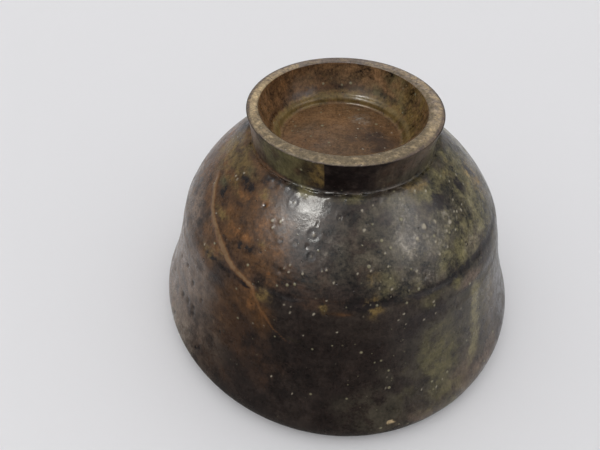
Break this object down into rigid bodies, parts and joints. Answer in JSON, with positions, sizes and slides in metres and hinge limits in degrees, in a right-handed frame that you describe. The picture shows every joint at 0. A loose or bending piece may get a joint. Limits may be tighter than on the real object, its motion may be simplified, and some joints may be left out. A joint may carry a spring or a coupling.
{
  "type": "tea bowl",
  "caption": "Black-glazed stoneware tea bowl standing mouth down, with a flared thrown wall, a trimmed shoulder and a foot ring round a stepped well.",
  "frame": {"origin": "centre of the circle that the lip stands on, at the bottom of the object as it is pictured", "axes": "+Z along the bowl's axis, from the lip to the foot ring's resting face; turn the bowl over to use it"},
  "size_m": [0.1234, 0.1225, 0.08],
  "materials": {
    "bare_clay": "matt, fired, worn and stained",
    "black_glaze": "gloss, pitted, breaking to rust and olive",
    "brown_glaze": "gloss, thin, red brown to olive"
  },
  "bodies": {
    "root": {"clay_wall": "bare_clay", "foot_ring": "bare_clay", "outside_glaze": "black_glaze", "inside_glaze": "black_glaze", "foot_ring_glaze": "black_glaze", "foot_well_glaze": "brown_glaze"}
  },
  "joints": []
}
